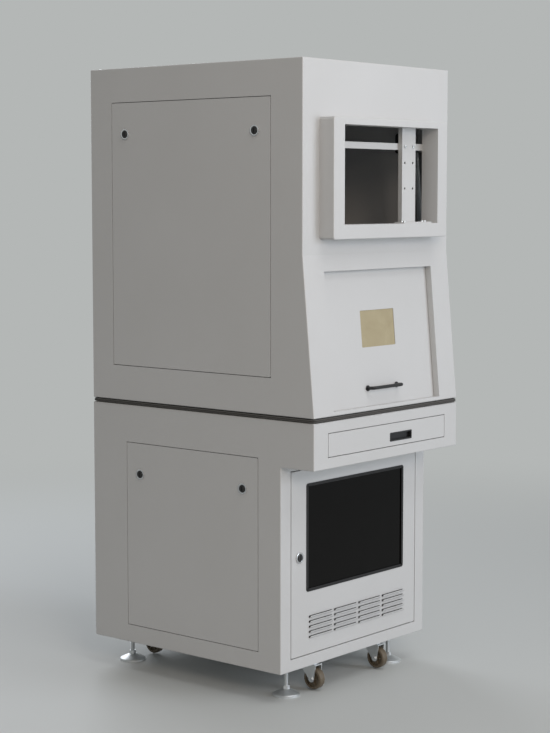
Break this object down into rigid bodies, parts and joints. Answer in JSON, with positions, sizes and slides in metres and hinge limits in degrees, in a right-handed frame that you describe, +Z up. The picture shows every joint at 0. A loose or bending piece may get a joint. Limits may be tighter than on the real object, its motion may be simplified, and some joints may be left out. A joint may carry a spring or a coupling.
{
  "type": "fiber laser marking machine",
  "caption": "Enclosed fiber laser marking machine: base cabinet with drawer, upper cabinet with sloping lift-up chamber door and open monitor housing, on levelling feet and castors.",
  "frame": {"origin": "on the floor under the middle of the machine's overall box", "axes": "+Z up, -Y out of the front where the doors and the drawer are, +X to the right seen from the front"},
  "size_m": [0.711, 0.885, 1.83],
  "materials": {
    "cabinet_paint": "fine-textured off-white powder coat",
    "seam_rubber": "matte black extruded seal",
    "bright_zinc": "bright zinc plate",
    "dark_pane": "polished smoked acrylic, almost black",
    "window_film": "laser-safe acrylic under tan protective film",
    "black_metal": "satin black",
    "black_plastic": "moulded black ABS and nylon",
    "rocker_red": "moulded red polycarbonate",
    "wheel_nylon": "moulded ivory-brown nylon",
    "milled_aluminium": "anodised extrusion and milled plate",
    "screw_steel": "ground steel",
    "computer_steel": "grey stove enamel"
  },
  "bodies": {
    "cabinet": {"base_cabinet": "cabinet_paint", "seam_strip": "seam_rubber", "upper_cabinet": "cabinet_paint", "monitor_bezel": "cabinet_paint", "monitor_post": "cabinet_paint", "monitor_crossbar": "cabinet_paint", "door_guides": "bright_zinc", "door_hinge_pins": "bright_zinc", "left_upper_panel": "cabinet_paint", "left_lower_panel": "cabinet_paint", "right_upper_panel": "cabinet_paint", "right_lower_panel": "cabinet_paint", "rear_upper_panel": "cabinet_paint", "rear_lower_panel": "cabinet_paint", "drawer_rails": "bright_zinc", "castor_plates": "bright_zinc", "work_table": "milled_aluminium", "lift_column": "milled_aluminium", "laser_source": "black_metal", "control_computer": "computer_steel", "power_supply": "computer_steel", "fan_frame": "black_plastic", "mains_inlet": "black_plastic"},
    "chamber_door": {"chamber_door": "cabinet_paint", "chamber_window": "window_film", "door_handle": "black_metal"},
    "lower_door": {"lower_door": "cabinet_paint", "door_pane": "dark_pane"},
    "lower_door_lock": {"lower_door_lock": "black_metal"},
    "drawer": {"drawer_front": "cabinet_paint", "drawer_pull": "black_plastic", "drawer_tray": "bright_zinc"},
    "lift": {"lift_carriage": "milled_aluminium", "laser_arm": "milled_aluminium", "scan_head": "black_metal", "field_lens": "black_metal"},
    "lift_screw": {"lift_screw": "screw_steel", "lift_handwheel": "black_plastic"},
    "fan_impeller": {"fan_impeller": "black_plastic"},
    "mains_rocker": {"mains_rocker": "rocker_red"},
    "lock_left_upper_front": {"lock_left_upper_front": "black_metal"},
    "lock_left_upper_rear": {"lock_left_upper_rear": "black_metal"},
    "lock_left_lower_front": {"lock_left_lower_front": "black_metal"},
    "lock_left_lower_rear": {"lock_left_lower_rear": "black_metal"},
    "lock_right_upper_front": {"lock_right_upper_front": "black_metal"},
    "lock_right_upper_rear": {"lock_right_upper_rear": "black_metal"},
    "lock_right_lower_front": {"lock_right_lower_front": "black_metal"},
    "lock_right_lower_rear": {"lock_right_lower_rear": "black_metal"},
    "foot_front_left": {"foot_front_left": "bright_zinc"},
    "foot_rear_left": {"foot_rear_left": "bright_zinc"},
    "foot_front_right": {"foot_front_right": "bright_zinc"},
    "foot_rear_right": {"foot_rear_right": "bright_zinc"},
    "castor_fork_front_left": {"castor_fork_front_left": "bright_zinc"},
    "castor_wheel_front_left": {"castor_wheel_front_left": "wheel_nylon"},
    "castor_fork_rear_left": {"castor_fork_rear_left": "bright_zinc"},
    "castor_wheel_rear_left": {"castor_wheel_rear_left": "wheel_nylon"},
    "castor_fork_front_right": {"castor_fork_front_right": "bright_zinc"},
    "castor_wheel_front_right": {"castor_wheel_front_right": "wheel_nylon"},
    "castor_fork_rear_right": {"castor_fork_rear_right": "bright_zinc"},
    "castor_wheel_rear_right": {"castor_wheel_rear_right": "wheel_nylon"}
  },
  "joints": [
    {"name": "chamber_door_slide", "type": "slide", "parent": "cabinet", "child": "chamber_door", "axis": [0, 0.0925, 0.9957], "range_m": [0, 0.325]},
    {"name": "lower_door_hinge", "type": "hinge", "parent": "cabinet", "child": "lower_door", "pos_m": [0.292, -0.3065, 0.3985], "axis": [0, 0, 1], "range_deg": [0, 110]},
    {"name": "lower_door_lock_turn", "type": "hinge", "parent": "lower_door", "child": "lower_door_lock", "pos_m": [-0.266, -0.3135, 0.417], "axis": [0, 1, 0], "range_deg": [0, 90]},
    {"name": "drawer_slide", "type": "slide", "parent": "cabinet", "child": "drawer", "axis": [0, -1, 0], "range_m": [0, 0.33]},
    {"name": "lock_left_upper_front_turn", "type": "hinge", "parent": "cabinet", "child": "lock_left_upper_front", "pos_m": [-0.35, -0.2195, 1.634], "axis": [-1, 0, 0], "range_deg": [0, 90]},
    {"name": "lock_left_upper_rear_turn", "type": "hinge", "parent": "cabinet", "child": "lock_left_upper_rear", "pos_m": [-0.35, 0.2895, 1.634], "axis": [1, 0, 0], "range_deg": [0, 90]},
    {"name": "lock_left_lower_front_turn", "type": "hinge", "parent": "cabinet", "child": "lock_left_lower_front", "pos_m": [-0.35, -0.1725, 0.614], "axis": [-1, 0, 0], "range_deg": [0, 90]},
    {"name": "lock_left_lower_rear_turn", "type": "hinge", "parent": "cabinet", "child": "lock_left_lower_rear", "pos_m": [-0.35, 0.2365, 0.614], "axis": [1, 0, 0], "range_deg": [0, 90]},
    {"name": "lock_right_upper_front_turn", "type": "hinge", "parent": "cabinet", "child": "lock_right_upper_front", "pos_m": [0.35, -0.2195, 1.634], "axis": [-1, 0, 0], "range_deg": [0, 90]},
    {"name": "lock_right_upper_rear_turn", "type": "hinge", "parent": "cabinet", "child": "lock_right_upper_rear", "pos_m": [0.35, 0.2895, 1.634], "axis": [1, 0, 0], "range_deg": [0, 90]},
    {"name": "lock_right_lower_front_turn", "type": "hinge", "parent": "cabinet", "child": "lock_right_lower_front", "pos_m": [0.35, -0.1725, 0.614], "axis": [-1, 0, 0], "range_deg": [0, 90]},
    {"name": "lock_right_lower_rear_turn", "type": "hinge", "parent": "cabinet", "child": "lock_right_lower_rear", "pos_m": [0.35, 0.2365, 0.614], "axis": [1, 0, 0], "range_deg": [0, 90]},
    {"name": "foot_front_left_height", "type": "slide", "parent": "cabinet", "child": "foot_front_left", "axis": [0, 0, 1], "range_m": [-0.02, 0.012]},
    {"name": "foot_rear_left_height", "type": "slide", "parent": "cabinet", "child": "foot_rear_left", "axis": [0, 0, 1], "range_m": [-0.02, 0.012]},
    {"name": "foot_front_right_height", "type": "slide", "parent": "cabinet", "child": "foot_front_right", "axis": [0, 0, 1], "range_m": [-0.02, 0.012]},
    {"name": "foot_rear_right_height", "type": "slide", "parent": "cabinet", "child": "foot_rear_right", "axis": [0, 0, 1], "range_m": [-0.02, 0.012]},
    {"name": "castor_swivel_front_left", "type": "hinge", "parent": "cabinet", "child": "castor_fork_front_left", "pos_m": [-0.155, -0.2635, 0.078], "axis": [0, 0, 1], "continuous": true},
    {"name": "castor_roll_front_left", "type": "hinge", "parent": "castor_fork_front_left", "child": "castor_wheel_front_left", "pos_m": [-0.155, -0.2815, 0.036], "axis": [1, 0, 0], "continuous": true},
    {"name": "castor_swivel_rear_left", "type": "hinge", "parent": "cabinet", "child": "castor_fork_rear_left", "pos_m": [-0.155, 0.3865, 0.078], "axis": [0, 0, 1], "continuous": true},
    {"name": "castor_roll_rear_left", "type": "hinge", "parent": "castor_fork_rear_left", "child": "castor_wheel_rear_left", "pos_m": [-0.155, 0.3685, 0.036], "axis": [1, 0, 0], "continuous": true},
    {"name": "castor_swivel_front_right", "type": "hinge", "parent": "cabinet", "child": "castor_fork_front_right", "pos_m": [0.155, -0.2635, 0.078], "axis": [0, 0, 1], "continuous": true},
    {"name": "castor_roll_front_right", "type": "hinge", "parent": "castor_fork_front_right", "child": "castor_wheel_front_right", "pos_m": [0.155, -0.2815, 0.036], "axis": [1, 0, 0], "continuous": true},
    {"name": "castor_swivel_rear_right", "type": "hinge", "parent": "cabinet", "child": "castor_fork_rear_right", "pos_m": [0.155, 0.3865, 0.078], "axis": [0, 0, 1], "continuous": true},
    {"name": "castor_roll_rear_right", "type": "hinge", "parent": "castor_fork_rear_right", "child": "castor_wheel_rear_right", "pos_m": [0.155, 0.3685, 0.036], "axis": [1, 0, 0], "continuous": true},
    {"name": "lift_screw_turn", "type": "hinge", "parent": "cabinet", "child": "lift_screw", "pos_m": [0, 0.1145, 1.1], "axis": [0, 0, 1], "range_deg": [-10801, 8641]},
    {"name": "lift_slide", "type": "slide", "parent": "cabinet", "child": "lift", "axis": [0, 0, 1], "range_m": [-0.15, 0.12]},
    {"name": "fan_spin", "type": "hinge", "parent": "cabinet", "child": "fan_impeller", "pos_m": [0, 0.4245, 1.6], "axis": [0, 1, 0], "continuous": true},
    {"name": "mains_rocker_tilt", "type": "hinge", "parent": "cabinet", "child": "mains_rocker", "pos_m": [0.2, 0.4365, 0.255], "axis": [1, 0, 0], "range_deg": [0, 20]}
  ],
  "couplings": [
    {"joint": "lift_screw_turn", "follows": "lift_slide", "rad_per_m": 1256.6}
  ]
}
